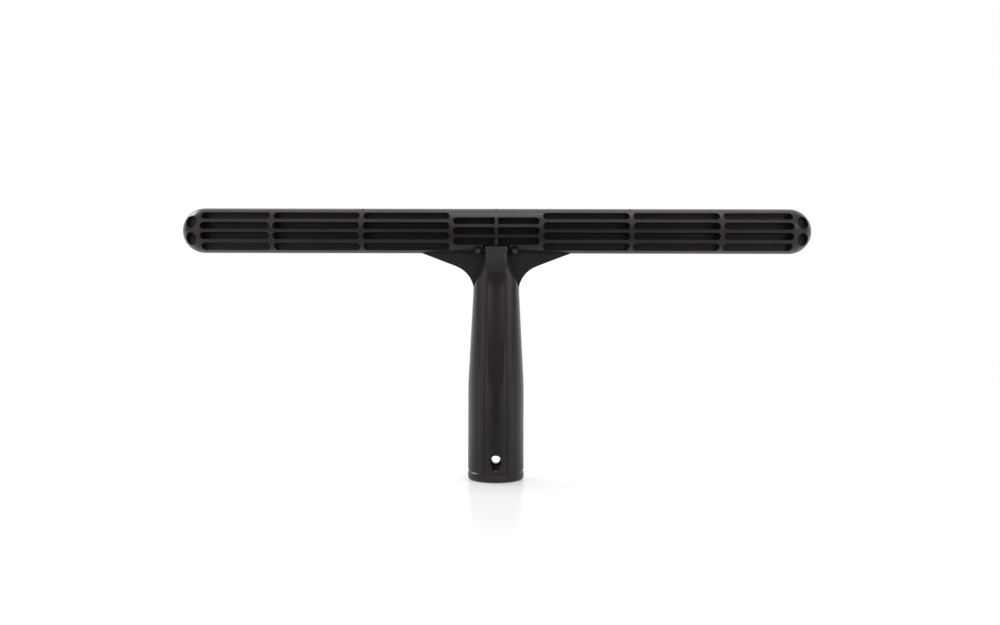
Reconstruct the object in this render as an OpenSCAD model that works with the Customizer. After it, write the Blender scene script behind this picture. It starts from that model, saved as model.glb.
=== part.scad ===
/* [Bar] */
// Length of the bar from tip to tip
bar_length = 350; // [330:5:390]
// Height of the bar
bar_height = 24.8; // [24:0.2:24.8]
// Depth of the bar from front to back
bar_depth = 21; // [20.5:0.5:22]
// Radius of the bar's rounded front and back faces
face_radius = 12.7; // [12.7:0.1:13.5]

/* [Pockets] */
// Height of one pocket
pocket_height = 3.85; // [3.25:0.1:3.95]
// Spacing of the pocket rows
row_pitch = 5.6; // [5.4:0.1:5.8]
// Spacing of the upright ribs
bay_pitch = 49.5; // [46:0.5:51]
// Width of an upright rib
rib_width = 2.1; // [1.8:0.1:3]
// How far the rows sit below the bar's centreline
row_drop = 0.7; // [0:0.1:0.9]
// Radius of the round wells in the bar's ends
well_radius = 3.5; // [2.5:0.1:3.6]

/* [Spine and gussets] */
// Thickness of the plate in the middle of the bar
web = 2.5; // [2:0.1:3]
// How far each gusset reaches along the bar from the middle
gusset_reach = 41.3; // [36:0.1:46]
// Radius of the hollow curve between gusset and neck
gusset_radius = 15.5; // [14:0.5:17]

/* [Grip] */
// Overall height, standing on the foot
overall_height = 150.5; // [148:0.5:160]
// Radius of the lower half of the grip
grip_radius = 15.5; // [15.3:0.1:16]
// Radius of the neck under the bar
neck_radius = 12.75; // [12.5:0.05:12.8]
// Distance from the middle to the neck's front face
neck_front = 9.2; // [9:0.1:9.6]
// Height at which the grip starts to taper
taper_start = 52; // [45:1:56]

/* [Pole socket] */
// Radius of the socket
socket_radius = 10.4; // [9.5:0.1:10.6]
// Depth of the socket
socket_depth = 56; // [45:1:58]
// Radius of the upper part of the front hole near the foot
hole_radius = 3.1; // [2.5:0.1:3.3]
// Radius of the round hole opposite to it
rear_hole_radius = 2.45; // [2:0.05:3]

/* [Hidden] */
$fn = 96;

// The bar
bar_z = overall_height - bar_height / 2;
bar_bottom = overall_height - bar_height;
bar_end = bar_length / 2 - bar_height / 2;
face_offset = face_radius - bar_depth / 2;
pocket_end = bar_end + 0.45;
bay_count = 3;
row_count = 4;
middle_row_count = 3;
well_x = bar_end + 5.95;
well_z = 4.65;
well_drop = 0.35;
nick_spots = [-1.5, 0, 1.5];
nick_width = 1.2;
nick_depth = 1.1;
nick_length = 2;

// The spine and its gussets, as heights above the foot
gusset_turn = [22.4, bar_bottom - 7.2];
gusset_bite = 0.4;
gusset_centre = [gusset_radius + neck_radius - gusset_bite, bar_bottom - 21.75];
tang_half_width = 8;
tang_bottom = bar_bottom - 28.5;

// The grip
collar_height = 5;
collar_front = 3.8;
collar_round = 0.8;
pad_height = 0.2;
edge_round = 1.8;
rim_chamfer = 0.4;
rim_height = 0.6;
taper_end = bar_bottom - 21.5;
waist_z = bar_bottom - 18.4;
shoulder_z = bar_bottom - 2.4;
shoulder_radius = 8.1;
neck_top = bar_bottom + 1.5;
neck_face_z = bar_bottom - 10.5;
lean = atan((grip_radius - neck_front) / (neck_face_z - taper_start));
sleeve_wall = 1.6;
sleeve_radius = socket_radius + sleeve_wall;
lip_height = 0.3;
lip_foot = 8.7;
lip_neck = 7.2;
crown_radius = 24;

// The strips let into the grip's front and back
strip_thickness = 1.2;
strip_gap = 0.2;
strip_foot = 6;
strip_neck = 5.4;
tongue_half_width = 7.2;
tongue_top = bar_z - row_drop - row_pitch - pocket_height / 2;
tongue_back = 4.5;
tongue_tip_front = 6.3;
flute_radius = 18;
flute_depth = 0.9;
flute_bottom = 45;
flute_lean = atan((grip_radius - neck_front + flute_depth) / (neck_face_z - flute_bottom));

// The pins and dowels
pin_radius = 1.8;
pin_length = 16.4;
pin_x = 10.1;
pin_z = bar_bottom + 0.8;
dowel_radius = 1;
dowel_length = 8;
dowel_spots = [[12, 9.4], [bar_end + 2.6, 9.6], [bar_end + 2.6, -9.6]];

// The two holes near the foot, as heights above it
hole_top_z = 11.9;
hole_wide_z = 10.6;
hole_tip_radius = 1.5;
hole_tip_z = 7.65;
hole_steps = 8;
rear_hole_z = 9.45;

// How far cutting shapes reach past the part, and how far joined shapes run into each other
far = 40;
lap = 1;

// Mirrored copies to the left and right of the middle
module both_sides() {
    children();
    mirror([1, 0, 0]) children();
}

// Turns an outline drawn in X and Z into a slab that is centred on the middle plane
module upright(depth) {
    rotate([90, 0, 0]) linear_extrude(height = depth, center = true) children();
}

// A box wider than the bar, between two depths and two heights
module room(from, to, bottom, top) {
    translate([-bar_length, from, bottom]) cube([2 * bar_length, to - from, top - bottom]);
}

// Cross-section of the bar, with its depth along X and its height along Y
module bar_section() {
    intersection() {
        translate([face_offset, 0]) circle(r = face_radius);
        translate([-face_offset, 0]) circle(r = face_radius);
        square([bar_depth, bar_height], center = true);
    }
}

// The whole outside of the bar, round-ended and centred on its own height
module bar_body() {
    rotate([90, 0, 90]) linear_extrude(height = 2 * bar_end, center = true) bar_section();
    both_sides()
        translate([bar_end, 0, 0]) rotate([90, 0, 0]) rotate([0, 0, -90])
            rotate_extrude(angle = 180) intersection() {
                rotate(90) bar_section();
                translate([0, -bar_depth / 2]) square([bar_height / 2, bar_depth]);
            }
}

// One long pocket with round ends, or with a square inner end beside the middle rib
module pocket(from, to, square_inner) {
    r = pocket_height / 2;
    inner = square_inner ? from : from + r;
    translate([inner, -r]) square([to - r - inner, pocket_height]);
    translate([to - r, 0]) circle(r = r);
    if (!square_inner) translate([inner, 0]) circle(r = r);
}

// All pockets to the right of the middle
module pocket_rows() {
    for (row = [0 : middle_row_count - 1])
        translate([0, (row - (middle_row_count - 1) / 2) * row_pitch - row_drop])
            pocket(rib_width / 2, (bay_pitch - rib_width) / 2, true);
    for (bay = [1 : bay_count], row = [0 : row_count - 1])
        translate([0, (row - (row_count - 1) / 2) * row_pitch - row_drop])
            pocket((bay - 0.5) * bay_pitch + rib_width / 2,
                bay < bay_count ? (bay + 0.5) * bay_pitch - rib_width / 2 : pocket_end, false);
}

// Outline of a strip and its tongue, wider by the given gap
module strip_outline(gap) {
    polygon([
        [strip_foot + gap, 0], [strip_foot + gap, taper_start],
        [strip_neck + gap, taper_end], [strip_neck + gap, neck_face_z],
        [tongue_half_width + gap, tongue_top],
        [-tongue_half_width - gap, tongue_top],
        [-strip_neck - gap, neck_face_z], [-strip_neck - gap, taper_end],
        [-strip_foot - gap, taper_start], [-strip_foot - gap, 0]
    ]);
}

// Points along an arc about a centre on the front hole's upright centreline
function hole_arc(z, r, from, to) =
    [for (step = [0 : hole_steps]) let(a = from + (to - from) * step / hole_steps)
        [r * cos(a), z + r * sin(a)]];

// Egg-shaped hole through the front wall, its narrow end towards the foot, and a round one behind
module cross_hole() {
    turn = asin((hole_radius - hole_tip_radius) / (hole_wide_z - hole_tip_z));
    translate([0, -far / 2 - lap, 0]) upright(far) polygon(concat(
        hole_arc(hole_wide_z, hole_radius, -turn, 0),
        hole_arc(hole_top_z, hole_radius, 0, 180),
        hole_arc(hole_wide_z, hole_radius, 180, 180 + turn),
        hole_arc(hole_tip_z, hole_tip_radius, 180 + turn, 360 - turn)
    ));
    translate([0, lap, rear_hole_z]) rotate([-90, 0, 0]) cylinder(r = rear_hole_radius, h = far);
}

// The plate with its gussets and the tang that goes down into the neck
module spine_blank() {
    translate([0, 0, bar_z]) intersection() {
        bar_body();
        cube([bar_length + lap, web, bar_height + lap], center = true);
    }
    upright(web) difference() {
        union() {
            both_sides() polygon([[0, bar_z], [gusset_reach, bar_z],
                [gusset_reach, bar_z - bar_height / 2], gusset_turn,
                [gusset_turn[0], gusset_centre[1]], [0, gusset_centre[1]]]);
            translate([-tang_half_width, tang_bottom])
                square([2 * tang_half_width, gusset_centre[1] - tang_bottom + lap]);
        }
        both_sides() translate(gusset_centre) circle(r = gusset_radius);
    }
}

// A straight pin with half-round ends
module neck_pin() {
    straight = pin_length - 2 * pin_radius;
    rotate([90, 0, 0]) rotate_extrude() intersection() {
        union() {
            translate([0, -straight / 2]) square([pin_radius, straight]);
            for (end = [-1, 1]) translate([0, end * straight / 2]) circle(r = pin_radius);
        }
        translate([0, -pin_length]) square([2 * pin_radius, 2 * pin_length]);
    }
}

module neck_pins() {
    both_sides() translate([pin_x, 0, pin_z]) neck_pin();
}

module dowels() {
    both_sides() for (spot = dowel_spots)
        translate([spot[0], 0, bar_z + spot[1]]) rotate([90, 0, 0])
            cylinder(r = dowel_radius, h = dowel_length, center = true);
}

// Outside of the grip and neck, smaller all round by the given inset
module grip_shell(inset) {
    difference() {
        rotate_extrude() polygon([
            [0, collar_front], [grip_radius - inset - rim_chamfer, collar_front],
            [grip_radius - inset, collar_front + rim_height], [grip_radius - inset, taper_start],
            [neck_radius - inset, taper_end], [neck_radius - inset, waist_z],
            [shoulder_radius - inset, shoulder_z], [shoulder_radius - inset, neck_top],
            [0, neck_top]
        ]);
        for (face = [0, 1]) mirror([0, face, 0]) difference() {
            room(-far, 0, taper_start - lap, overall_height);
            translate([0, -grip_radius, taper_start]) rotate([-lean, 0, 0])
                translate([0, crown_radius, -far]) cylinder(r = crown_radius - inset, h = 4 * far);
        }
    }
}

// The two low ridges that edge each strip
module lips() {
    intersection() {
        grip_shell(-lip_height);
        upright(2 * far) both_sides() polygon([
            [strip_foot + strip_gap, 0], [lip_foot, 0], [lip_foot, taper_start],
            [lip_neck, taper_end], [strip_neck + strip_gap, neck_face_z],
            [strip_neck + strip_gap, taper_end], [strip_foot + strip_gap, taper_start]
        ]);
    }
}

// The room that one strip takes, from the outside down to its back face
module strip_room(gap) {
    difference() {
        intersection() {
            upright(2 * far) strip_outline(gap);
            room(-far, -web / 2, 0, neck_face_z);
        }
        grip_shell(strip_thickness);
    }
    intersection() {
        upright(2 * far) strip_outline(gap);
        room(-far, -tongue_back, neck_face_z, overall_height);
    }
}

// One half of the bar, with its pockets open right through to the plate behind it
module cover() {
    difference() {
        translate([0, 0, bar_z]) difference() {
            intersection() {
                bar_body();
                room(-far, -web / 2, -far, far);
            }
            upright(2 * far) both_sides() {
                pocket_rows();
                for (level = [-1, 1])
                    translate([well_x, level * well_z - well_drop]) circle(r = well_radius);
            }
            for (spot = nick_spots)
                translate([spot * bay_pitch - nick_width / 2, -web / 2 - nick_length,
                    bar_height / 2 - nick_depth])
                    cube([nick_width, nick_length, 2 * nick_depth]);
        }
        upright(2 * far) strip_outline(strip_gap);
        neck_pins();
        dowels();
    }
}

// One strip, its tongue between neck and bar, and the tongue's end inside the bar
module strip() {
    difference() {
        union() {
            intersection() {
                grip_shell(0);
                strip_room(0);
                room(-far, far, 0, neck_face_z);
            }
            intersection() {
                upright(2 * far) strip_outline(0);
                rotate([90, 0, 90]) linear_extrude(height = far, center = true) polygon([
                    [-neck_front, neck_face_z], [-tongue_tip_front, tongue_top],
                    [-tongue_back, tongue_top], [-tongue_back, neck_face_z]
                ]);
            }
            intersection() {
                upright(2 * far) strip_outline(0);
                translate([0, 0, bar_z]) bar_body();
                room(-tongue_back - lap, -web / 2, 0, tongue_top);
            }
        }
        translate([0, -neck_front - flute_radius + flute_depth, neck_face_z])
            rotate([180 - flute_lean, 0, 0])
                cylinder(r = flute_radius, h = neck_face_z - flute_bottom);
    }
}

// A ring round the foot up to the given height, its outer edges rounded below and above
module collar_ring(outer, top) {
    rotate_extrude() difference() {
        union() {
            translate([sleeve_radius, edge_round])
                square([outer - sleeve_radius, top - collar_round - edge_round]);
            translate([sleeve_radius, 0])
                square([outer - edge_round - sleeve_radius, edge_round + lap / 2]);
            translate([outer - edge_round, edge_round]) circle(r = edge_round);
            translate([sleeve_radius, top - collar_round - lap / 2])
                square([outer - collar_round - sleeve_radius, collar_round + lap / 2]);
            translate([outer - collar_round, top - collar_round]) circle(r = collar_round);
        }
        square([sleeve_radius, top]);
    }
}

module front_bar_cover() {
    color("#38353a") cover();
}

module rear_bar_cover() {
    color("#38353a") mirror([0, 1, 0]) cover();
}

module spine_plate() {
    color("#2b292c") difference() {
        spine_blank();
        neck_pins();
        dowels();
    }
}

module grip_body() {
    color("#343236") difference() {
        union() {
            grip_shell(0);
            lips();
        }
        strip_room(strip_gap);
        mirror([0, 1, 0]) strip_room(strip_gap);
        translate([0, 0, bar_z]) bar_body();
        spine_blank();
        cylinder(r = sleeve_radius, h = socket_depth + sleeve_wall);
        both_sides() translate([lip_foot, -far, 0]) cube([far, 2 * far, collar_height]);
        cross_hole();
    }
}

module front_grip_strip() {
    color("#302e31") difference() {
        strip();
        cross_hole();
    }
}

module rear_grip_strip() {
    color("#302e31") difference() {
        mirror([0, 1, 0]) strip();
        cross_hole();
    }
}

module pole_sleeve() {
    color("#262427") difference() {
        cylinder(r = sleeve_radius, h = socket_depth + sleeve_wall);
        translate([0, 0, -lap]) cylinder(r = socket_radius, h = socket_depth + lap);
        cross_hole();
    }
}

// The collar stands higher at the sides than below the strips
module foot_collar() {
    color("#39363a") {
        difference() {
            collar_ring(grip_radius, collar_height);
            translate([-lip_foot, -far, collar_front - collar_round])
                cube([2 * lip_foot, 2 * far, collar_height]);
        }
        intersection() {
            collar_ring(grip_radius + pad_height, collar_front);
            translate([-lip_foot, -far, 0]) cube([2 * lip_foot, 2 * far, collar_front]);
        }
    }
}

module left_neck_pin() {
    color("#3a373b") translate([-pin_x, 0, pin_z]) neck_pin();
}

module right_neck_pin() {
    color("#3a373b") translate([pin_x, 0, pin_z]) neck_pin();
}

module cover_dowels() {
    color("#4a474b") dowels();
}

front_bar_cover();
rear_bar_cover();
spine_plate();
grip_body();
front_grip_strip();
rear_grip_strip();
pole_sleeve();
foot_collar();
left_neck_pin();
right_neck_pin();
cover_dowels();
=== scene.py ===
import math

import bmesh
import bpy
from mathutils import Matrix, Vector


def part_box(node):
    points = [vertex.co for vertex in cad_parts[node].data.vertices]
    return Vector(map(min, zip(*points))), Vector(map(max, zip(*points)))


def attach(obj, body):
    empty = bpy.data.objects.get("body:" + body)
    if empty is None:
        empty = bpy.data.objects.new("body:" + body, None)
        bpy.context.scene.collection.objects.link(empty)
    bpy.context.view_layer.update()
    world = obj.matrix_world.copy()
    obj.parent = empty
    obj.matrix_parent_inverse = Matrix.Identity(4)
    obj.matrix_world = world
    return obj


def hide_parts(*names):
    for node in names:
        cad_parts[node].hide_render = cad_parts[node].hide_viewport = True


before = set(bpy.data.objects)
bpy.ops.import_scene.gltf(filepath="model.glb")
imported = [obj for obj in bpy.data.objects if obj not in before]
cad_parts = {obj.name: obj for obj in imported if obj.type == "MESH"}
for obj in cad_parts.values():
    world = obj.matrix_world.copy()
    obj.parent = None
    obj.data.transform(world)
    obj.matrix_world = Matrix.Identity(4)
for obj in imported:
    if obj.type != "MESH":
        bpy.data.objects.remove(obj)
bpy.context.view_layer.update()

mm = 0.001
fullTurn = 2 * math.pi
tiny = 0.01 * mm
mergeGap = 0.002 * mm
reach = 40 * mm
loftRadius = 10 * mm
rimSteps = 3
wallTilt = 0.02
print("frame loaded")


# handling of pieces

def clearSelection():
    if bpy.context.mode != "OBJECT":
        bpy.ops.object.mode_set(mode="OBJECT")
    bpy.ops.object.select_all(action="DESELECT")


def workOn(piece):
    clearSelection()
    piece.select_set(True)
    bpy.context.view_layer.objects.active = piece


def editPiece(piece):
    workOn(piece)
    bpy.ops.object.mode_set(mode="EDIT")
    bpy.ops.mesh.select_mode(type="VERT")
    bpy.ops.mesh.select_all(action="SELECT")


def nameNew(name):
    # the primitive just added becomes a piece with its place in its mesh
    piece = bpy.context.active_object
    piece.name = name
    piece.data.name = name
    bpy.ops.object.transform_apply(location=True, rotation=True, scale=True)
    return piece


def pick(piece, kind, test):
    # in edit mode, selects the vertices, edges or faces that pass a test
    bpy.ops.mesh.select_mode(type=kind)
    bpy.ops.mesh.select_all(action="DESELECT")
    mesh = bmesh.from_edit_mesh(piece.data)
    parts = {"VERT": mesh.verts, "EDGE": mesh.edges, "FACE": mesh.faces}[kind]
    for part in parts:
        if test(part):
            part.select_set(True)
    mesh.select_flush_mode()
    bmesh.update_edit_mesh(piece.data)


def applyAll(piece):
    workOn(piece)
    for modifier in list(piece.modifiers):
        bpy.ops.object.modifier_apply(modifier=modifier.name)


def combine(piece, other, operation, keepOther=False):
    workOn(piece)
    modifier = piece.modifiers.new("combine", "BOOLEAN")
    modifier.operation = operation
    modifier.solver = "EXACT"
    modifier.object = other
    bpy.ops.object.modifier_apply(modifier=modifier.name)
    if not keepOther:
        bpy.data.objects.remove(other, do_unlink=True)


def cut(piece, cutter, keepCutter=False):
    combine(piece, cutter, "DIFFERENCE", keepCutter)


def addBlock(name, low, high):
    clearSelection()
    bpy.ops.mesh.primitive_cube_add(size=1, location=[(a + b) / 2 for a, b in zip(low, high)],
                                    scale=[b - a for a, b in zip(low, high)])
    return nameNew(name)


def roundEdges(piece, test, radius, segments):
    # real rounding on the edges that pass the test
    editPiece(piece)
    pick(piece, "EDGE", test)
    bpy.ops.mesh.bevel(offset=radius, segments=segments, affect="EDGES", clamp_overlap=True)
    bpy.ops.object.mode_set(mode="OBJECT")


def turnOutwards(piece):
    editPiece(piece)
    bpy.ops.mesh.remove_doubles(threshold=mergeGap)
    bpy.ops.mesh.select_all(action="SELECT")
    bpy.ops.mesh.normals_make_consistent(inside=False)
    bpy.ops.object.mode_set(mode="OBJECT")


def finishPiece(piece, slotName, *nodes, smoothAngle=35):
    turnOutwards(piece)
    workOn(piece)
    bpy.ops.object.shade_smooth_by_angle(angle=math.radians(smoothAngle))
    even = piece.modifiers.new("even", "WEIGHTED_NORMAL")
    even.keep_sharp = True
    bpy.ops.object.modifier_apply(modifier=even.name)
    piece.data.materials.clear()
    piece.data.materials.append(slotMaterials[slotName])
    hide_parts(*nodes)
    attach(piece, "root")
    print(piece.name, len(piece.data.polygons), "faces")


def mirroredCopy(piece, name, axis):
    workOn(piece)
    bpy.ops.object.duplicate()
    copy = bpy.context.active_object
    copy.name = name
    copy.data.name = name
    copy.scale = [-1 if axis == index else 1 for index in range(3)]
    bpy.ops.object.transform_apply(location=True, rotation=True, scale=True)
    return copy


def isSharp(edge, degrees):
    return len(edge.link_faces) == 2 and edge.calc_face_angle(0) > math.radians(degrees)


def isWallTop(edge):
    # one of its two faces runs straight back, like the wall of a pocket or a hole
    return len([face for face in edge.link_faces if abs(face.normal.y) < wallTilt]) == 1


def ends(edge):
    return [corner.co for corner in edge.verts]


# shader maths

class Wire:
    def __init__(self, bench, socket):
        self.bench = bench
        self.socket = socket

    def join(self, operation, other, flipped=False):
        pair = [other, self] if flipped else [self, other]
        return self.bench.make("ShaderNodeMath", {"operation": operation}, dict(enumerate(pair)))

    def __add__(self, other):
        return self.join("ADD", other)

    def __radd__(self, other):
        return self.join("ADD", other, True)

    def __sub__(self, other):
        return self.join("SUBTRACT", other)

    def __rsub__(self, other):
        return self.join("SUBTRACT", other, True)

    def __mul__(self, other):
        return self.join("MULTIPLY", other)

    def __rmul__(self, other):
        return self.join("MULTIPLY", other, True)

    def __gt__(self, other):
        return self.join("GREATER_THAN", other)


class Bench:
    def __init__(self, tree):
        self.tree = tree
        self.tree.nodes.clear()

    def make(self, kind, settings=None, inputs=None, out=0):
        node = self.tree.nodes.new(kind)
        for key, value in (settings or {}).items():
            setattr(node, key, value)
        for key, value in (inputs or {}).items():
            if isinstance(value, Wire):
                self.tree.links.new(value.socket, node.inputs[key])
            else:
                node.inputs[key].default_value = value
        return Wire(self, node.outputs[out] if len(node.outputs) else None)

    def place(self, kind="Object"):
        return self.make("ShaderNodeTexCoord", out=kind)

    def noise(self, scale, place, detail=2.0):
        return self.make("ShaderNodeTexNoise", {"noise_dimensions": "3D"},
                         {"Vector": place, "Scale": scale, "Detail": detail})

    def ramp(self, value, start, stop, low=0.0, high=1.0):
        # a soft step from low to high
        return self.make("ShaderNodeMapRange", {"interpolation_type": "SMOOTHSTEP"},
                         {"Value": value, "From Min": start, "From Max": stop,
                          "To Min": low, "To Max": high})

    def mixColours(self, amount, dark, light):
        ends = {6: dark if isinstance(dark, Wire) else (*dark, 1), 7: (*light, 1)}
        return self.make("ShaderNodeMix", {"data_type": "RGBA"}, {"Factor": amount, **ends}, out=2)

    def rays(self, kind):
        return self.make("ShaderNodeLightPath", out=kind)


def newMaterial(name):
    material = bpy.data.materials.new(name)
    material.use_nodes = True
    return material, Bench(material.node_tree)


# the moulded plastic that every piece is made of, each in its own shade and finish; the collar's paler
# tone is partly painted light

plastic = {
    "cloudScale": 55.0,
    "cloudDetail": 3.0,
    "cloudShare": 0.6,
    "flowScale": 320.0,
    "flowStretch": (1.0, 1.0, 0.2),
    "flowShare": 0.4,
    "shadeSpread": 0.2,
    "grainScale": 2600.0,
    "grainDepth": 0.003 * mm,
    "dustScale": 1500.0,
    "dustShare": 0.992,
    "dustTone": (0.05, 0.046, 0.047),
    "dustStrength": 0.5,
    "roughCloud": 0.1,
    "roughGrain": 0.08,
    "specular": 0.5,
    "tint": (1.0, 0.9, 0.93, 1),
}


def mouldedPlastic(name, tone, roughness, grain=1.0, streaks=0.0):
    material, bench = newMaterial(name)
    place = bench.place()
    cloud = bench.noise(plastic["cloudScale"], place, plastic["cloudDetail"])
    grainNoise = bench.noise(plastic["grainScale"], place)
    flow = bench.make("ShaderNodeMapping", {"vector_type": "POINT"},
                      {"Vector": place, "Scale": plastic["flowStretch"]})
    flowNoise = bench.noise(plastic["flowScale"], flow)
    shade = cloud * plastic["cloudShare"] + flowNoise * (plastic["flowShare"] + streaks)
    dark, pale = 1 - plastic["shadeSpread"], 1 + plastic["shadeSpread"]
    colour = bench.mixColours(shade, [part * dark for part in tone], [part * pale for part in tone])
    speck = bench.make("ShaderNodeTexVoronoi", {"feature": "F1"},
                       {"Vector": place, "Scale": plastic["dustScale"]}, out="Color")
    isDust = bench.make("ShaderNodeSeparateColor", None, {"Color": speck}) > plastic["dustShare"]
    dusted = bench.mixColours(isDust * plastic["dustStrength"], colour, plastic["dustTone"])
    rough = roughness + (cloud - 0.5) * plastic["roughCloud"]
    rough = rough + (grainNoise - 0.5) * plastic["roughGrain"]
    depth = plastic["grainDepth"] * grain
    bump = bench.make("ShaderNodeBump", None,
                      {"Strength": 1.0, "Distance": depth, "Height": grainNoise}, out="Normal")
    shader = bench.make("ShaderNodeBsdfPrincipled", None,
                        {"Base Color": dusted, "Roughness": rough, "Normal": bump,
                         "Specular IOR Level": plastic["specular"], "Specular Tint": plastic["tint"]})
    bench.make("ShaderNodeOutputMaterial", None, {"Surface": shader})
    return material


slotMaterials = {
    "bar_plastic": mouldedPlastic("barPlastic", (0.0215, 0.0178, 0.0188), 0.31),
    "spine_plastic": mouldedPlastic("spinePlastic", (0.0185, 0.0155, 0.0165), 0.34),
    "grip_plastic": mouldedPlastic("gripPlastic", (0.0205, 0.0172, 0.0182), 0.31, 1.3),
    "strip_plastic": mouldedPlastic("stripPlastic", (0.017, 0.0143, 0.0152), 0.31, 1.3),
    "sleeve_plastic": mouldedPlastic("sleevePlastic", (0.26, 0.235, 0.24), 0.32, 1.0, 0.4),
    # the collar's tone, a little paler than the grip's, is partly its own and partly painted light that
    # brightens its side
    "collar_plastic": mouldedPlastic("collarPlastic", (0.024, 0.02, 0.021), 0.25),
    "pin_plastic": mouldedPlastic("pinPlastic", (0.027, 0.0235, 0.0245), 0.3),
    "dowel_plastic": mouldedPlastic("dowelPlastic", (0.05, 0.045, 0.047), 0.4),
}
print("plastics ready")


# the frame's own measures

coverLow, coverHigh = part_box("front_bar_cover")
gripLow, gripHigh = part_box("grip_body")
gripFoot, gripTop = gripLow[2], gripHigh[2]
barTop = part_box("spine_plate")[1][2]
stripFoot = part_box("front_grip_strip")[0][2]
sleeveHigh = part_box("pole_sleeve")[1]
sleeveRadius, sleeveTop = sleeveHigh[0], sleeveHigh[2]
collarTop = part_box("foot_collar")[1][2]

barHeight = 24.8 * mm
barMid = barTop - barHeight / 2
barBottom = barTop - barHeight
barEnd = coverHigh[0] - barHeight / 2
frontY = coverLow[1]
plateY = coverHigh[1]


# the bar's two covers

bar = {
    "faceRadius": 12.7 * mm,
    "endSteps": 24,
    "crownRings": 14,
    "pocketHeight": 3.85 * mm,
    "rowPitch": 5.6 * mm,
    "bayPitch": 49.5 * mm,
    "ribWidth": 1.85 * mm,
    "rowDrop": 0.7 * mm,
    "pocketPast": 0.45 * mm,
    "wellRadius": 3.5 * mm,
    "wellOut": 5.95 * mm,
    "wellDrop": 0.35 * mm,
    "wellUp": 4.65 * mm,
    "nickWidth": 1.2 * mm,
    "nickDepth": 1.1 * mm,
    "nickLength": 2 * mm,
    "slotHalfWidth": 7.4 * mm,
    "slotTop": 129.85 * mm,
    "slotShare": 1.2,
    "cornerSteps": 9,
    "wellSteps": 40,
    "rimRound": 0.32 * mm,
    "rimAngle": 25,
    "rimClear": 0.05 * mm,
}
faceOffset = bar["faceRadius"] + frontY
throughCover = -3 * frontY


def crownPoint(turn):
    # depth and height on the bar's rounded face, by the angle from its foremost line
    depth = -(bar["faceRadius"] * math.cos(turn) - faceOffset)
    return depth, bar["faceRadius"] * math.sin(turn)


def addHalfBar(name, backDepth):
    # half of the racetrack outline, drawn forward ring by ring and closed at the foremost line
    turn = math.acos((faceOffset - backDepth) / bar["faceRadius"])
    depth, height = crownPoint(turn)
    clearSelection()
    bpy.ops.mesh.primitive_circle_add(vertices=4 * bar["endSteps"], radius=height,
                                      location=(barEnd, depth, barMid), rotation=(math.pi / 2, 0, 0))
    piece = nameNew(name)
    editPiece(piece)
    pick(piece, "VERT", lambda corner: corner.co.x < barEnd - tiny)
    bpy.ops.mesh.delete(type="VERT")
    pick(piece, "VERT", lambda corner: abs(corner.co.x - barEnd) < tiny)
    bpy.ops.mesh.extrude_vertices_move(TRANSFORM_OT_translate={"value": (-barEnd, 0, 0)})
    bpy.ops.mesh.select_mode(type="EDGE")
    bpy.ops.mesh.select_all(action="SELECT")
    for ring in range(bar["crownRings"] - 1, -1, -1):
        nextDepth, nextHeight = crownPoint(turn * ring / bar["crownRings"])
        bpy.ops.mesh.extrude_edges_move(TRANSFORM_OT_translate={"value": (0, nextDepth - depth, 0)})
        mesh = bmesh.from_edit_mesh(piece.data)
        for corner in mesh.verts:
            if abs(corner.co.y - nextDepth) < tiny / 2:
                ratio = nextHeight / height
                corner.co.z = barMid + (corner.co.z - barMid) * ratio
                if corner.co.x > barEnd / 2:
                    corner.co.x = barEnd + (corner.co.x - barEnd) * ratio
        bmesh.update_edit_mesh(piece.data)
        depth, height = nextDepth, nextHeight
    return piece


def closeBar(piece, backDepth):
    # the flat back, then the mirrored half
    pick(piece, "VERT", lambda corner: abs(corner.co.y - backDepth) < tiny and corner.co.x < tiny)
    bpy.ops.mesh.edge_face_add()
    pick(piece, "VERT", lambda corner: abs(corner.co.y - backDepth) < tiny)
    bpy.ops.mesh.edge_face_add()
    bpy.ops.mesh.select_all(action="SELECT")
    bpy.ops.mesh.remove_doubles(threshold=mergeGap)
    bpy.ops.object.mode_set(mode="OBJECT")
    halves = piece.modifiers.new("halves", "MIRROR")
    halves.use_axis[0] = True
    halves.merge_threshold = mergeGap
    applyAll(piece)
    turnOutwards(piece)


def addPocket(piece, start, stop, height, squareInner):
    # a block through the cover, its upright edges rounded to half circles
    tall = bar["pocketHeight"]
    bpy.ops.mesh.primitive_cube_add(size=1, location=((start + stop) / 2, frontY, height),
                                    scale=(stop - start, throughCover, tall))
    inner = start + tiny

    def isRoundCorner(edge):
        a, b = ends(edge)
        upright = abs(a.x - b.x) < tiny and abs(a.z - b.z) < tiny
        return edge.select and upright and not (squareInner and min(a.x, b.x) < inner)
    mesh = bmesh.from_edit_mesh(piece.data)
    chosen = [edge for edge in mesh.edges if isRoundCorner(edge)]
    bpy.ops.mesh.select_mode(type="EDGE")
    bpy.ops.mesh.select_all(action="DESELECT")
    mesh = bmesh.from_edit_mesh(piece.data)
    for edge in chosen:
        edge.select_set(True)
    bmesh.update_edit_mesh(piece.data)
    bpy.ops.mesh.bevel(offset=tall / 2 - mergeGap, segments=bar["cornerSteps"], affect="EDGES",
                       clamp_overlap=False)


def addNick(name, x):
    # a small block on the bar's top edge, at the plate
    clearSelection()
    bpy.ops.mesh.primitive_cube_add(size=1, location=(x, plateY - bar["nickLength"] / 2, barTop),
                                    scale=(bar["nickWidth"], bar["nickLength"], 2 * bar["nickDepth"]))
    return nameNew(name)


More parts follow.
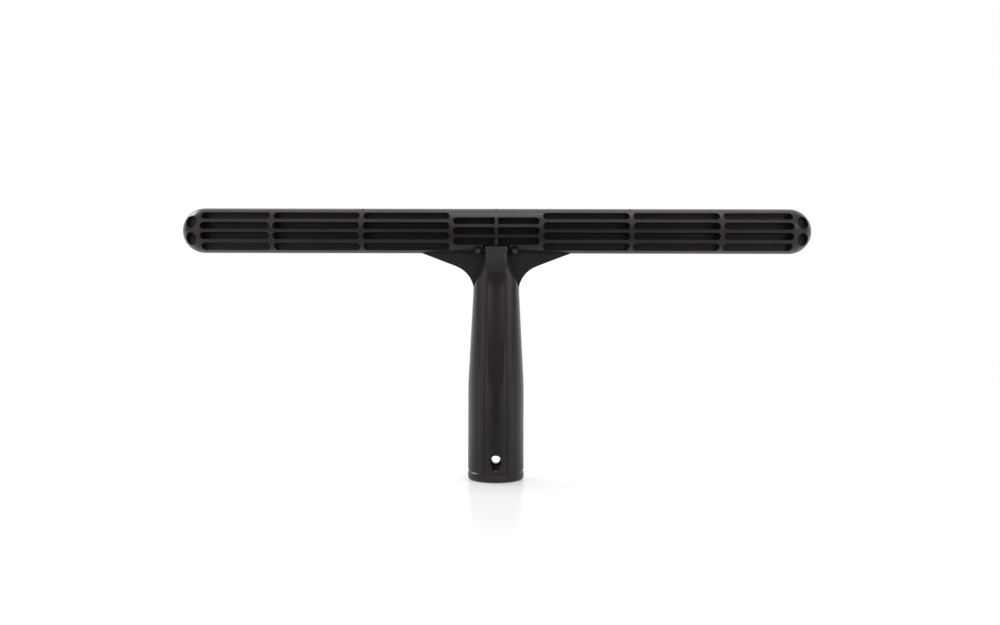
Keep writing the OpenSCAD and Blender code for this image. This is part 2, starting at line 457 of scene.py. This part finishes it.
def addBarCutters():
    # all pockets, wells and nicks of the right half, then mirrored
    piece = addNick("barCutters", bar["bayPitch"] * 1.5)
    editPiece(piece)
    half = bar["bayPitch"] / 2
    rib = bar["ribWidth"] / 2
    rowMid = barMid - bar["rowDrop"]
    for row in (-1, 0, 1):
        addPocket(piece, rib, half - rib, rowMid + row * bar["rowPitch"], True)
    for bay in (1, 2, 3):
        start = (2 * bay - 1) * half + rib
        stop = barEnd + bar["pocketPast"] if bay == 3 else (2 * bay + 1) * half - rib
        for row in (-1.5, -0.5, 0.5, 1.5):
            addPocket(piece, start, stop, rowMid + row * bar["rowPitch"], False)
    wellX, wellMid = barEnd + bar["wellOut"], barMid - bar["wellDrop"]
    for level in (-1, 1):
        bpy.ops.mesh.primitive_cylinder_add(
            vertices=bar["wellSteps"], radius=bar["wellRadius"], depth=throughCover,
            rotation=(math.pi / 2, 0, 0), location=(wellX, frontY, wellMid + level * bar["wellUp"]))
    bpy.ops.object.mode_set(mode="OBJECT")
    other = mirroredCopy(piece, "leftCutters", 0)
    turnOutwards(other)
    middle = addNick("middleCutters", 0)
    editPiece(middle)
    bpy.ops.mesh.primitive_cube_add(
        size=1, location=(0, frontY, barBottom),
        scale=(2 * bar["slotHalfWidth"], -bar["slotShare"] * frontY, 2 * (bar["slotTop"] - barBottom)))
    bpy.ops.object.mode_set(mode="OBJECT")
    clearSelection()
    for part in (piece, other, middle):
        part.select_set(True)
    bpy.context.view_layer.objects.active = piece
    bpy.ops.object.join()
    return piece


def isRim(edge):
    # a pocket's or well's edge on the rounded face
    a, b = ends(edge)
    inFront = max(a.y, b.y) <= plateY - bar["rimClear"]
    return inFront and isSharp(edge, bar["rimAngle"]) and isWallTop(edge)


frontCover = addHalfBar("frontCover", plateY)
closeBar(frontCover, plateY)
cut(frontCover, addBarCutters())
turnOutwards(frontCover)
roundEdges(frontCover, isRim, bar["rimRound"], rimSteps)
rearCover = mirroredCopy(frontCover, "rearCover", 1)
finishPiece(frontCover, "bar_plastic", "front_bar_cover")
finishPiece(rearCover, "bar_plastic", "rear_bar_cover")
print("bar covers done")


# the spine plate with its gussets, its edges eased

spine = {
    "edgeRound": 0.35 * mm,
    "edgeAngle": 60,
    "flatAngle": 1,
    "boreReach": 5 * mm,
    "boreMargin": 0.1 * mm,
}
clearSelection()
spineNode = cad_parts["spine_plate"]
spinePlate = spineNode.copy()
spinePlate.data = spineNode.data.copy()
spinePlate.parent = None
bpy.context.collection.objects.link(spinePlate)
spinePlate.name = "spinePlate"
spinePlate.data.name = "spinePlate"
editPiece(spinePlate)
bpy.ops.mesh.remove_doubles(threshold=mergeGap)
bpy.ops.mesh.select_all(action="SELECT")
bpy.ops.mesh.dissolve_limited(angle_limit=math.radians(spine["flatAngle"]))
bpy.ops.object.mode_set(mode="OBJECT")


def isPlateEdge(edge):
    # the outline's edges on both faces, but not the bores'
    a, b = ends(edge)
    flat = abs(a.y - b.y) < tiny and isSharp(edge, spine["edgeAngle"])
    middle = (a + b) / 2
    inBar = barBottom + spine["boreMargin"] < middle.z < barTop - spine["boreMargin"]
    return flat and not (inBar and abs(middle.x) < barEnd + spine["boreReach"])


roundEdges(spinePlate, isPlateEdge, spine["edgeRound"], rimSteps)
finishPiece(spinePlate, "spine_plastic", "spine_plate")


# the grip: a round tube whose neck is flattened front and back

grip = {
    "radius": 15.5 * mm,
    "neckRadius": 12.75 * mm,
    "waistZ": barBottom - 18.4 * mm,
    "shoulderZ": barBottom - 2.4 * mm,
    "shoulderRadius": 8.1 * mm,
    "crownRadius": 24 * mm,
    "neckFront": 9.2 * mm,
    "taperStart": 52 * mm,
    "taperEnd": barBottom - 21.5 * mm,
    "taperBlend": 0.3 * mm,
    "taperFine": (44 * mm, 62 * mm),
    "faceZ": barBottom - 10.5 * mm,
    "stripFoot": 6.2 * mm,
    "stripNeck": 5.6 * mm,
    "tongueHalf": 7.4 * mm,
    "stripDepth": 1.2 * mm,
    "leastDepth": 0.9 * mm,
    "fluteRoom": 2.0 * mm,
    "fluteRun": 10 * mm,
    "tongueBack": 4.5 * mm,
    "lipFoot": 8.9 * mm,
    "lipNeck": 0.2 * mm,
    "lipLeast": 0.15 * mm,
    "lipFull": 1.2 * mm,
    "lipPower": 1.75,
    "lipHeight": 0.42 * mm,
    "blend": 0.9 * mm,
    "waistBlend": 1 * mm,
    "shoulderBlend": 7 * mm,
    "shoulderRun": 8 * mm,
    "neckLean": 0.198,
    "rimRound": 0.35 * mm,
    "rimInset": 0.5 * mm,
    "rimHeight": 1.1 * mm,
    "rimGap": 0.15 * mm,
    "faceStep": 0.06 * mm,
    "topRound": 0.5 * mm,
    "lipRound": 0.46 * mm,
    "lipShare": 0.4,
    "lipProfile": [(0, 0.2), (0.02, 0.6), (0.06, 0.9), (0.14, 1), (0.5, 1)],
    "lipTurns": (90, 72, 54, 36, 18, 0),
    "sideSteps": 22,
    "socketSteps": 96,
}
crownSlope = (grip["radius"] - grip["neckFront"]) / (grip["faceZ"] - grip["taperStart"])


def between(a, b, share):
    return a + (b - a) * min(max(share, 0), 1)


def softMin(a, b, width):
    near = max(width - abs(a - b), 0) / width
    return min(a, b) - near * near * width / 4


def frontDepth(z):
    # the front leans back, and more so above the neck's face
    lean = (min(z, grip["faceZ"]) - grip["taperStart"]) * crownSlope
    return grip["radius"] - lean - max(z - grip["faceZ"], 0) * grip["neckLean"]


def taperShare(z):
    return (z - grip["taperStart"]) / (grip["taperEnd"] - grip["taperStart"])


def shellRadius(z, turn):
    # distance from the axis to the shell, turn 0 at the middle of the front or back
    line = grip["radius"] - (grip["radius"] - grip["neckRadius"]) * taperShare(z)
    barrel = max(softMin(grip["radius"], line, grip["taperBlend"]), grip["neckRadius"])
    back = grip["crownRadius"] - frontDepth(z)
    along = -math.cos(turn) * back
    crown = along + math.sqrt(along * along - back * back + grip["crownRadius"] ** 2)
    shell = softMin(barrel, crown, grip["blend"])
    if z > grip["waistZ"]:
        past = z - grip["waistZ"]
        half = between(grip["neckRadius"], grip["shoulderRadius"],
                       past / (grip["shoulderZ"] - grip["waistZ"]))
        blend = between(grip["waistBlend"], grip["shoulderBlend"], past / grip["shoulderRun"])
        shell = softMin(shell, half / max(math.sin(turn), 0.01), blend)
    return shell


def shellPoint(z, x, shrink=0.0, lift=0.0):
    # the shell's front at a given distance x from the middle, where the turn is found step by step
    turn = 0.0
    for _ in range(12):
        turn = math.asin(min(x / (shellRadius(z, turn) - shrink), 1))
    radius = shellRadius(z, turn) - shrink + lift
    return radius * math.sin(turn), radius * math.cos(turn)


def stripEdge(z):
    # half the strip's width, up to the tongue's top
    if z <= grip["faceZ"]:
        return between(grip["stripFoot"], grip["stripNeck"], taperShare(z))
    top = bar["slotTop"] - grip["faceZ"]
    return between(grip["stripNeck"], grip["tongueHalf"], (z - grip["faceZ"]) / top)


def lipEdge(z):
    # the lip narrows ever faster towards the neck, where it meets the strip
    share = max(taperShare(z), 0) ** grip["lipPower"]
    return between(grip["lipFoot"], grip["stripNeck"] + grip["lipNeck"], share)


def roundedDrop(fromEdge, radius):
    # how far a rounded edge draws a surface in, at a distance from that edge
    return radius - math.sqrt(max(radius ** 2 - max(radius - fromEdge, 0) ** 2, 0))


def edgeInset(z, low, high, lowRound, highRound):
    # the same for a section between two rounded ends
    if z - low < lowRound:
        return roundedDrop(z - low, lowRound)
    return roundedDrop(high - z, highRound)


def stripDepth(z):
    # the recess is deeper above the socket, where the flute needs it
    return between(grip["stripDepth"], grip["fluteRoom"], (z - sleeveTop) / grip["fluteRun"])


def gripQuarter(z):
    # from the middle of the front, along the recess floor, over the lip and round to the side
    shrink = edgeInset(z, gripFoot, gripTop, grip["rimRound"], grip["topRound"])
    sideShrink = max(shrink, between(grip["rimInset"], 0, (z - collarTop) / grip["rimHeight"]))
    edge = stripEdge(z)
    lip = max(lipEdge(z), edge + grip["lipLeast"])
    floor = shellPoint(z, 0)[1] - stripDepth(z)
    if z > grip["faceZ"] + tiny:
        floor = grip["tongueBack"]
    besideFloor = min(floor, shellPoint(z, edge)[1] - grip["leastDepth"])
    points = [(0, floor), (edge / 2, floor), (edge, besideFloor)]
    lipHeight = grip["lipHeight"] * min((lip - edge) / grip["lipFull"], 1)
    for share, rise in grip["lipProfile"]:
        points.append(shellPoint(z, edge + (lip - edge) * share, shrink, lipHeight * rise))
    lipRound = min(grip["lipRound"], (lip - edge) * grip["lipShare"])
    for turn in grip["lipTurns"]:
        side, up = math.cos(math.radians(turn)), math.sin(math.radians(turn))
        points.append(shellPoint(z, lip - lipRound * (1 - side), shrink, lipHeight * up))
    start = math.atan2(*shellPoint(z, lip, shrink))
    for step in range(1, grip["sideSteps"] + 1):
        turn = start + (math.pi / 2 - start) * step / grip["sideSteps"]
        radius = shellRadius(z, turn) - sideShrink
        points.append((radius * math.sin(turn), radius * math.cos(turn)))
    return points


def fullRing(quarter):
    # the quarter, mirrored to the back and to the left, as one closed round of points
    front = [(x, -y) for x, y in quarter]
    back = [(x, y) for x, y in reversed(quarter[:-1])]
    right = front + back
    left = [(-x, y) for x, y in reversed(right[1:-1])]
    return right + left


def gripRing(z):
    return fullRing(gripQuarter(z))


def loftPiece(name, ringAt, heights):
    # a circle drawn up height by height, each ring then brought to the section's shape
    count = len(ringAt(heights[0]))
    clearSelection()
    bpy.ops.mesh.primitive_circle_add(vertices=count, radius=loftRadius, location=(0, 0, heights[0]))
    piece = nameNew(name)
    start = [tuple(corner.co) for corner in piece.data.vertices]
    order = sorted(range(count), key=lambda i: math.atan2(start[i][0], -start[i][1]) % fullTurn)
    spots = {(round(start[i][0] / tiny), round(start[i][1] / tiny)): place
             for place, i in enumerate(order)}
    editPiece(piece)
    bpy.ops.mesh.select_mode(type="EDGE")
    for low, high in zip(heights, heights[1:]):
        bpy.ops.mesh.extrude_edges_move(TRANSFORM_OT_translate={"value": (0, 0, high - low)})
    mesh = bmesh.from_edit_mesh(piece.data)
    rings = {}
    for corner in mesh.verts:
        level = min(range(len(heights)), key=lambda i: abs(heights[i] - corner.co.z))
        if level not in rings:
            rings[level] = ringAt(heights[level])
        spot = spots[(round(corner.co.x / tiny), round(corner.co.y / tiny))]
        corner.co.x, corner.co.y = rings[level][spot]
    bmesh.update_edit_mesh(piece.data)
    for height in (heights[0], heights[-1]):
        pick(piece, "EDGE", lambda edge: edge.is_boundary and abs(ends(edge)[0].z - height) < tiny / 10)
        bpy.ops.mesh.edge_face_add()
    bpy.ops.object.mode_set(mode="OBJECT")
    turnOutwards(piece)
    return piece


def levels(*stretches):
    # heights through all stretches of (from, to, steps), each height once
    heights = []
    for low, high, steps in stretches:
        heights += [low + (high - low) * step / steps for step in range(steps)]
    return heights + [stretches[-1][1]]


gripHeights = levels(
    (gripFoot, gripFoot + grip["rimRound"], 4),
    (gripFoot + grip["rimRound"], collarTop + grip["rimGap"], 2),
    (collarTop + grip["rimGap"], collarTop + grip["rimHeight"], 4),
    (collarTop + grip["rimHeight"], grip["taperFine"][0], 10),
    (*grip["taperFine"], 12),
    (grip["taperFine"][1], grip["taperEnd"], 10),
    (grip["taperEnd"], grip["faceZ"], 8),
    (grip["faceZ"], grip["faceZ"] + grip["faceStep"], 1),
    (grip["faceZ"] + grip["faceStep"], gripTop - grip["topRound"], 10),
    (gripTop - grip["topRound"], gripTop, 4))
gripBody = loftPiece("gripBody", gripRing, gripHeights)


# the front hole is egg-shaped, with its narrow end below, and the rear one is round

hole = {
    "radius": 3.1 * mm,
    "topZ": 11.9 * mm,
    "wideZ": 10.6 * mm,
    "tipRadius": 1.5 * mm,
    "tipZ": 7.65 * mm,
    "rearRadius": 2.45 * mm,
    "rearZ": 9.45 * mm,
    "steps": 48,
    "middle": 11 * mm,
    "length": 20 * mm,
    "rimRound": 0.22 * mm,
    "rimReach": 3.2 * mm,
    "rimHeights": (5.9 * mm, 15.6 * mm),
    "rimOut": 14.5 * mm,
    "rimAngle": 40,
}


def addHoleRod(name, radius, y, z):
    clearSelection()
    bpy.ops.mesh.primitive_cylinder_add(vertices=hole["steps"], radius=radius, depth=hole["length"],
                                        location=(0, y, z), rotation=(math.pi / 2, 0, 0))
    return nameNew(name)


def addHoleCutter():
    # the front rod's lower half is brought to the egg's shape
    piece = addHoleRod("frontHole", hole["radius"], -hole["middle"], hole["topZ"])
    turn = math.asin((hole["radius"] - hole["tipRadius"]) / (hole["wideZ"] - hole["tipZ"]))
    for corner in piece.data.vertices:
        side = math.atan2(corner.co.z - hole["topZ"], corner.co.x)
        fromSide = min(-side, math.pi + side)
        if fromSide < 0.001:
            continue
        isWide = fromSide < turn
        radius = hole["radius"] if isWide else hole["tipRadius"]
        centre = hole["wideZ"] if isWide else hole["tipZ"]
        corner.co.x = radius * math.cos(side)
        corner.co.z = centre + radius * math.sin(side)
    addHoleRod("rearHole", hole["rearRadius"], hole["middle"], hole["rearZ"])
    piece.select_set(True)
    bpy.context.view_layer.objects.active = piece
    bpy.ops.object.join()
    return piece


def addSocketCutter():
    clearSelection()
    bpy.ops.mesh.primitive_cylinder_add(vertices=grip["socketSteps"], radius=sleeveRadius,
                                        depth=2 * sleeveTop, location=(0, 0, 0))
    return nameNew("socketCutter")


holeCutter = addHoleCutter()
cut(gripBody, addSocketCutter())
for side in (-1, 1):
    low, high = sorted((side * grip["lipFoot"], side * reach))
    cut(gripBody, addBlock("besideFoot", (low, -reach, 0), (high, reach, collarTop)))
cut(gripBody, holeCutter, keepCutter=True)
finishPiece(gripBody, "grip_plastic", "grip_body", smoothAngle=40)
print("grip done")


# the strips let into the grip's front and back

strip = {
    "gap": 0.03 * mm,
    "fluteHalf": (3.9 * mm, 4.9 * mm),
    "fluteDepth": 1.3 * mm,
    "fluteBottom": 50 * mm,
    "fluteFine": 96 * mm,
    "fluteTop": 104 * mm,
    "fluteRise": 0.75,
    "fluteFade": (107 * mm, 123 * mm),
    "tipFront": 6.3 * mm,
    "tongueCrown": 0.15,
    "tongueEase": 5 * mm,
    "edgeRound": 0.12 * mm,
    "tongueRound": 2.4 * mm,
    "footRound": 0.12 * mm,
    "topRound": 0.5 * mm,
    "sideShare": 0.3,
    "backGap": 0.05 * mm,
    "tongueGap": 0.1 * mm,
    "leastThickness": 0.1 * mm,
    "halfSteps": 14,
}
tongueTop = bar["slotTop"] - strip["gap"]


def stripFront(z, x):
    # distance of the strip's face from the middle plane, with the flute taken out
    share = max(z - strip["fluteBottom"], 0) / (strip["fluteTop"] - strip["fluteBottom"])
    half = between(*strip["fluteHalf"], share)
    fadeStart, fadeStop = strip["fluteFade"]
    fade = between(0, 1, (z - fadeStart) / (fadeStop - fadeStart))
    deep = strip["fluteDepth"] * min(share ** strip["fluteRise"], 1) * (1 - fade) ** 2
    groove = max(1 - (x / half) ** 2, 0) * deep
    if z <= grip["faceZ"]:
        return shellPoint(z, abs(x))[1] - groove
    past = z - grip["faceZ"]
    lean = (grip["neckFront"] - strip["tipFront"]) * past / (tongueTop - grip["faceZ"])
    crown = shellPoint(grip["faceZ"], abs(x))[1] - shellPoint(grip["faceZ"], 0)[1]
    flatter = between(1, strip["tongueCrown"], past / strip["tongueEase"])
    return grip["neckFront"] - lean + crown * flatter - groove


def stripRing(z):
    # the front from the middle to the edge, then the flat back
    shrink = edgeInset(z, stripFoot, tongueTop, strip["footRound"], strip["topRound"])
    half = stripEdge(z) - strip["gap"] - shrink * strip["sideShare"]
    proud = stripFront(z, half) - shellPoint(z, stripEdge(z))[1]
    rounding = min(max(proud, strip["edgeRound"]), strip["tongueRound"])
    right = []
    for step in range(strip["halfSteps"] + 1):
        share = math.sin(math.pi / 2 * step / strip["halfSteps"])
        x = half * share
        right.append((x, -(stripFront(z, x) - shrink - roundedDrop(half - x, rounding))))
    backDepth = grip["tongueBack"] + strip["tongueGap"]
    if z <= grip["faceZ"]:
        backDepth = shellPoint(z, 0)[1] - stripDepth(z) + strip["backGap"]
    back = min(backDepth, stripFront(z, half) - shrink - rounding - strip["leastThickness"])
    right.append((half, -back))
    right.append((0, -back))
    left = [(-x, y) for x, y in reversed(right[1:-1])]
    return right + left


stripHeights = levels(
    (stripFoot, stripFoot + strip["footRound"], 3),
    (stripFoot + strip["footRound"], grip["taperFine"][0], 12),
    (*grip["taperFine"], 12),
    (grip["taperFine"][1], strip["fluteFine"], 10),
    (strip["fluteFine"], grip["faceZ"], 20),
    (grip["faceZ"], grip["faceZ"] + strip["tongueEase"], 8),
    (grip["faceZ"] + strip["tongueEase"], tongueTop - strip["topRound"], 8),
    (tongueTop - strip["topRound"], tongueTop, 3))


def isHoleRim(edge):
    a, b = ends(edge)
    middle = (a + b) / 2
    low, high = hole["rimHeights"]
    near = abs(middle.x) < hole["rimReach"] and low < middle.z < high and abs(middle.y) > hole["rimOut"]
    return near and isSharp(edge, hole["rimAngle"]) and isWallTop(edge)


frontStrip = loftPiece("frontStrip", stripRing, stripHeights)
rearStrip = mirroredCopy(frontStrip, "rearStrip", 1)
for piece, node in ((frontStrip, "front_grip_strip"), (rearStrip, "rear_grip_strip")):
    cut(piece, holeCutter, keepCutter=True)
    turnOutwards(piece)
    roundEdges(piece, isHoleRim, hole["rimRound"], rimSteps)
    finishPiece(piece, "strip_plastic", node, smoothAngle=40)
print("strips done")


# a turned piece: its outline is drawn point by point beside the axis, then spun round it

def turnedPiece(name, outline, steps):
    clearSelection()
    bpy.ops.mesh.primitive_plane_add(size=1 * mm, location=(outline[0][0], 0, outline[0][1]))
    piece = nameNew(name)
    editPiece(piece)
    bpy.ops.mesh.merge(type="CENTER")
    for start, stop in zip(outline, outline[1:]):
        bpy.ops.mesh.extrude_vertices_move(
            TRANSFORM_OT_translate={"value": (stop[0] - start[0], 0, stop[1] - start[1])})
    bpy.ops.mesh.select_mode(type="EDGE")
    bpy.ops.mesh.select_all(action="SELECT")
    bpy.ops.mesh.spin(steps=steps, angle=fullTurn, center=(0, 0, 0), axis=(0, 0, 1))
    bpy.ops.object.mode_set(mode="OBJECT")
    turnOutwards(piece)
    return piece


def arcPoints(centre, radius, start, stop, steps):
    turns = [math.radians(start + (stop - start) * step / steps) for step in range(steps + 1)]
    return [(centre[0] + radius * math.cos(turn), centre[1] + radius * math.sin(turn))
            for turn in turns]


# the pole sleeve, with fine upright ribs on its inner wall

sleeve = {
    "bore": 10.4 * mm,
    "depth": 56 * mm,
    "chamfer": 0.3 * mm,
    "mouth": 0.4 * mm,
    "mouthSteps": 4,
    "ribs": 72,
    "ribDepth": 0.2 * mm,
    "ribStart": 5 * mm,
    "ribMiddle": 20 * mm,
}
mouthCentre = (sleeve["bore"] + sleeve["mouth"], sleeve["mouth"])
boreHeights = (sleeve["ribStart"], sleeve["ribMiddle"], sleeve["depth"])
sleeveOutline = [(0, sleeveTop), (sleeveRadius, sleeveTop), (sleeveRadius, sleeve["chamfer"]),
                 (sleeveRadius - sleeve["chamfer"], 0)]
sleeveOutline += arcPoints(mouthCentre, sleeve["mouth"], 270, 180, sleeve["mouthSteps"])
sleeveOutline += [(sleeve["bore"], height) for height in boreHeights] + [(0, sleeve["depth"])]
poleSleeve = turnedPiece("poleSleeve", sleeveOutline, 2 * sleeve["ribs"])
for corner in poleSleeve.data.vertices:
    radius = math.hypot(corner.co.x, corner.co.y)
    place = round(math.atan2(corner.co.y, corner.co.x) % fullTurn / fullTurn * 2 * sleeve["ribs"])
    onRib = abs(radius - sleeve["bore"]) < tiny and corner.co.z > sleeve["ribStart"] - tiny
    if onRib and place % 2:
        corner.co.x *= 1 + sleeve["ribDepth"] / radius
        corner.co.y *= 1 + sleeve["ribDepth"] / radius
cut(poleSleeve, holeCutter)
finishPiece(poleSleeve, "sleeve_plastic", "pole_sleeve", smoothAngle=20)


# the foot's collar, raised a little where the strips come down to it

collar = {
    "edgeRound": 1.8 * mm,
    "edgeSteps": 8,
    "shoulder": 0.55 * mm,
    "shoulderRings": (1.15, 1.0, 0.85, 0.5, 0),
    "padSlope": 0.6,
    "frontHeight": 3.8 * mm,
    "padHeight": 0.2 * mm,
    "padHalf": 8.8 * mm,
    "padOverlap": 0.1 * mm,
    "padSteps": 12,
    "sideSteps": 20,
}


def collarQuarter(z, top, lift, slope):
    # over the front up to the pad's edge and round to the side
    shoulder = slope * max(z - top + collar["shoulder"], 0)
    side = grip["radius"] - edgeInset(z, 0, top, collar["edgeRound"], 0) - shoulder + lift
    start = math.asin(collar["padHalf"] / side)
    turns = [start * step / collar["padSteps"] for step in range(collar["padSteps"])]
    beside = (math.pi / 2 - start) / collar["sideSteps"]
    turns += [start + beside * step for step in range(collar["sideSteps"] + 1)]
    return [(side * math.sin(turn), side * math.cos(turn)) for turn in turns]


def addCollar(name, top, lift, slope):
    bend = math.pi / 2 / collar["edgeSteps"]
    steps = range(collar["edgeSteps"] + 1)
    heights = [collar["edgeRound"] * (1 - math.cos(bend * step)) for step in steps]
    heights += [top - collar["shoulder"] * share for share in collar["shoulderRings"]]
    return loftPiece(name, lambda z: fullRing(collarQuarter(z, top, lift, slope)), heights)


padHalf = collar["padHalf"]
notchFloor = collar["frontHeight"] - collar["shoulder"] - collar["padOverlap"]
footCollar = addCollar("footCollar", collarTop, 0, 1)
cut(footCollar, addBlock("notch", (-padHalf, -reach, notchFloor), (padHalf, reach, reach)))
pad = addCollar("pad", collar["frontHeight"], collar["padHeight"], collar["padSlope"])
for side in (-1, 1):
    low, high = sorted((side * padHalf, side * reach))
    cut(pad, addBlock("beside", (low, -reach, -reach), (high, reach, reach)))
combine(footCollar, pad, "UNION")
cut(footCollar, addSocketCutter())
finishPiece(footCollar, "collar_plastic", "foot_collar")
print("collar and sleeve done")


# the neck pins, with half-round ends

pin = {"steps": 48, "domeRings": 8, "domeShare": 0.92, "edgeAngle": 60}


def addPin(name, node, low, high):
    radius = (high[0] - low[0]) / 2
    centre = ((low[0] + high[0]) / 2, 0, (low[2] + high[2]) / 2)
    clearSelection()
    bpy.ops.mesh.primitive_cylinder_add(vertices=pin["steps"], radius=radius, depth=high[1] - low[1],
                                        location=centre, rotation=(math.pi / 2, 0, 0))
    piece = nameNew(name)
    roundEdges(piece, lambda edge: isSharp(edge, pin["edgeAngle"]), pin["domeShare"] * radius,
               pin["domeRings"])
    finishPiece(piece, "pin_plastic", node)


for side, node in (("left", "left_neck_pin"), ("right", "right_neck_pin")):
    addPin(side + "NeckPin", node, *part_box(node))

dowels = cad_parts["cover_dowels"]
dowels.data.materials.clear()
dowels.data.materials.append(slotMaterials["dowel_plastic"])
print("pins and dowels done")


# the stage: a white floor that keeps soft shadows and a short, faint reflection

stage = {
    "size": 12.0,
    "tone": 0.8,
    "mottle": 0.02,
    "mottleScale": 3.0,
    "roughness": 0.3,
    "specular": 0.1,
    "nearGlow": 0.31,
    "farGlow": 0.45,
    "glowRun": (0.02, 0.3),
    "fade": (0.45, 0.9),
    "mirrorNear": 0.05,
    "mirrorFar": 0.6,
    "mirrorRun": (-0.3, 0.05),
    "mirrorSide": 0.75,
    "mirrorSideRun": (0.004, 0.06),
    "mirrorBack": 0.35,
    "mirrorBackRun": (0.0, 0.1),
}


def floorMaterial():
    material, bench = newMaterial("whiteFloor")
    place = bench.place()
    mottle = bench.noise(stage["mottleScale"], place)
    tone = bench.mixColours(mottle, (stage["tone"],) * 3, (stage["tone"] + stage["mottle"],) * 3)
    surface = bench.make("ShaderNodeBsdfPrincipled", None,
                         {"Base Color": tone, "Roughness": stage["roughness"],
                          "Specular IOR Level": stage["specular"]})
    # painted light: for the camera a glow is added to the floor's lit surface; it is partly an even
    # white lift and partly painted shade, as it is weaker near the object, so the floor round the foot
    # is painted darker
    away = bench.make("ShaderNodeVectorMath", {"operation": "LENGTH"}, {0: place}, out="Value")
    paintedFloorGlow = bench.mixColours(bench.ramp(away, *stage["glowRun"]),
                             (stage["nearGlow"],) * 3, (stage["farGlow"],) * 3)
    glow = bench.make("ShaderNodeEmission", None, {"Color": paintedFloorGlow, "Strength": 1.0})
    lifted = bench.make("ShaderNodeAddShader", None, {0: surface, 1: glow})
    # far out it is plain white from every side
    white = bench.make("ShaderNodeEmission", None, {"Color": (1.0, 1.0, 1.0, 1.0), "Strength": 1.0})
    faded = bench.make("ShaderNodeMixShader", None,
                       {0: bench.ramp(away, *stage["fade"]), 1: lifted, 2: white})
    seen = bench.make("ShaderNodeMixShader", None,
                      {0: bench.rays("Is Camera Ray"), 1: surface, 2: faded})
    # painted reflection: the plastic sees the floor as a glow, painted pale at the sides and behind and
    # dark in front, not as its lit surface
    depth = bench.make("ShaderNodeSeparateXYZ", None, {"Vector": place}, out="Y")
    across = bench.make("ShaderNodeSeparateXYZ", None, {"Vector": place}, out="X")
    mirrored = bench.ramp(depth, *stage["mirrorRun"], stage["mirrorNear"], stage["mirrorFar"])
    aside = bench.ramp(across * across, *stage["mirrorSideRun"])
    mirrored = mirrored + aside * (stage["mirrorSide"] - mirrored)
    mirrored = mirrored + bench.ramp(depth, *stage["mirrorBackRun"], 0.0, stage["mirrorBack"])
    paintedReflection = bench.make("ShaderNodeEmission", None, {"Color": mirrored, "Strength": 1.0})
    both = bench.make("ShaderNodeMixShader", None, {0: bench.rays("Is Glossy Ray"), 1: seen, 2: paintedReflection})
    bench.make("ShaderNodeOutputMaterial", None, {"Surface": both})
    return material


clearSelection()
bpy.ops.mesh.primitive_plane_add(size=stage["size"], location=(0, 0, 0))
floor = nameNew("floor")
floor.data.materials.append(floorMaterial())


# light: a white tent that is dark round the camera, and three soft lamps

light = {
    "cameraSide": 0.02,
    "front": 1.0,
    "frontRun": (-0.978, -0.875),
    "side": 0.38,
    "sideRun": (-0.82, -0.2),
    "above": 0.22,
    "behind": 1.0,
    "behindRun": (0.3, 0.75),
    "lamps": [
        {"name": "topLamp", "place": (0.12, 0.0, 1.1), "size": 0.6, "power": 1.9},
        {"name": "leftLamp", "place": (-0.82, 0.54, 0.75), "size": 0.35, "power": 3.0},
        {"name": "rightLamp", "place": (0.75, -0.8, 0.6), "size": 0.4, "power": 0.8},
    ],
}


def addLamp(name, place, size, power):
    clearSelection()
    bpy.ops.object.light_add(type="AREA", location=place)
    lamp = bpy.context.active_object
    lamp.name = name
    lamp.data.shape = "SQUARE"
    lamp.data.size = size
    lamp.data.energy = power
    fromMiddle = Vector(place) - Vector((0, 0, barMid / 2))
    lamp.rotation_euler = fromMiddle.to_track_quat("Z", "Y").to_euler()


def makeWorld():
    world = bpy.data.worlds.new("studio")
    bpy.context.scene.world = world
    world.use_nodes = True
    bench = Bench(world.node_tree)
    direction = bench.place("Generated")
    depth = bench.make("ShaderNodeSeparateXYZ", None, {"Vector": direction}, out="Y")
    height = bench.make("ShaderNodeSeparateXYZ", None, {"Vector": direction}, out="Z")
    front = bench.ramp(depth, *light["frontRun"], light["cameraSide"], light["front"])
    side = height * height * light["above"] + light["side"]
    tent = front + bench.ramp(depth, *light["sideRun"]) * (side - front)
    tent = tent + bench.ramp(depth, *light["behindRun"]) * (light["behind"] - tent)
    seen = bench.rays("Is Camera Ray")
    strength = tent + seen * (1.0 - tent)
    back = bench.make("ShaderNodeBackground", None, {"Color": strength, "Strength": 1.0})
    bench.make("ShaderNodeOutputWorld", None, {"Surface": back})


makeWorld()
for lamp in light["lamps"]:
    addLamp(**lamp)
print("stage and lights done")


# the camera stands where the picture was taken from, 55 cm in front

camera = {
    "place": (1.8 * mm, -550 * mm, 90.1 * mm),
    "lens": 35.51,
    "sensor": 36.0,
    "lookUp": 0.275,
    "roll": -0.14,
    "lookLeft": 0.441,
    "shift": 0.0082,
    "nearClip": 10 * mm,
}
clearSelection()
turns = (90 + camera["lookUp"], camera["roll"], camera["lookLeft"])
bpy.ops.object.camera_add(location=camera["place"], rotation=[math.radians(turn) for turn in turns])
eye = bpy.context.active_object
eye.name = "camera"
eye.data.lens = camera["lens"]
eye.data.sensor_width = camera["sensor"]
eye.data.sensor_fit = "HORIZONTAL"
eye.data.shift_x = camera["shift"]
eye.data.clip_start = camera["nearClip"]
bpy.context.scene.camera = eye
bpy.context.scene.view_settings.view_transform = "Standard"
clearSelection()
